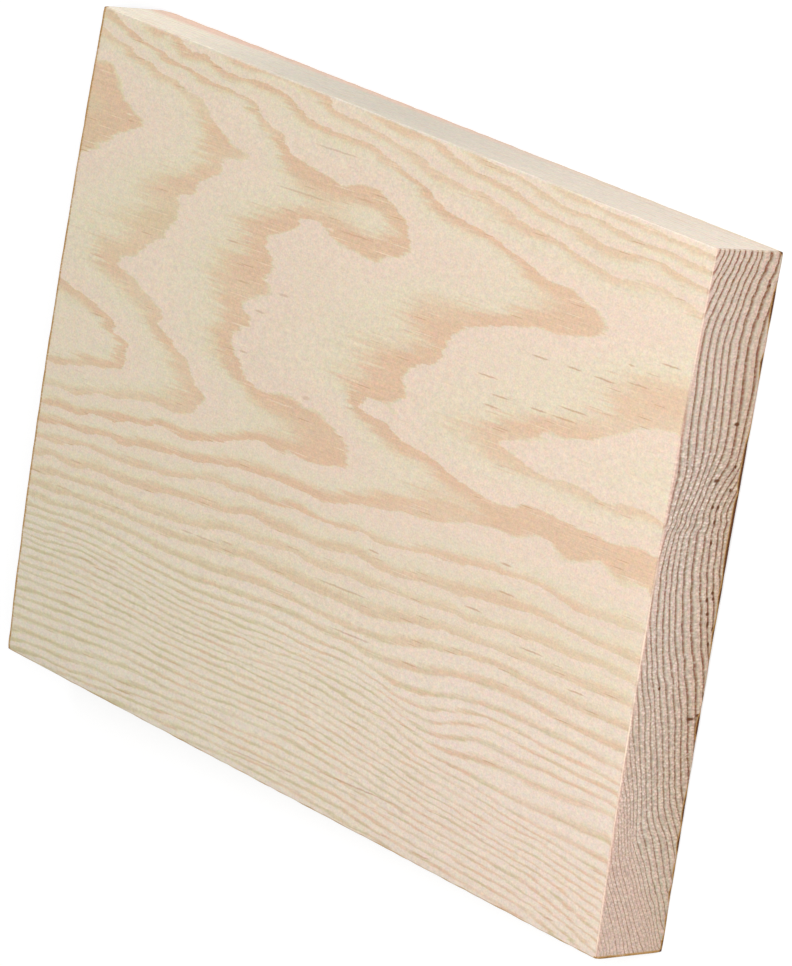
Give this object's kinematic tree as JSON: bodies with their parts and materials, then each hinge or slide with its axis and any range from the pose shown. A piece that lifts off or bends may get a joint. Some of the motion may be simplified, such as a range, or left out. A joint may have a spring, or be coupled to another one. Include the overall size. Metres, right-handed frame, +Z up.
{
  "type": "pine board",
  "caption": "Short length of planed softwood board, lying flat, with a slightly crowned face, a hollow back, leaning long edges and square saw-cut ends.",
  "frame": {"origin": "on the floor under the middle of the board, at the centre of the bounding box's underside", "axes": "+X along the grain, +Y across the width, +Z up out of the crowned upper face"},
  "size_m": [0.2032, 0.1396, 0.018],
  "materials": {
    "pine": "planed bare softwood, matt"
  },
  "bodies": {
    "root": {"board": "pine"}
  },
  "joints": []
}
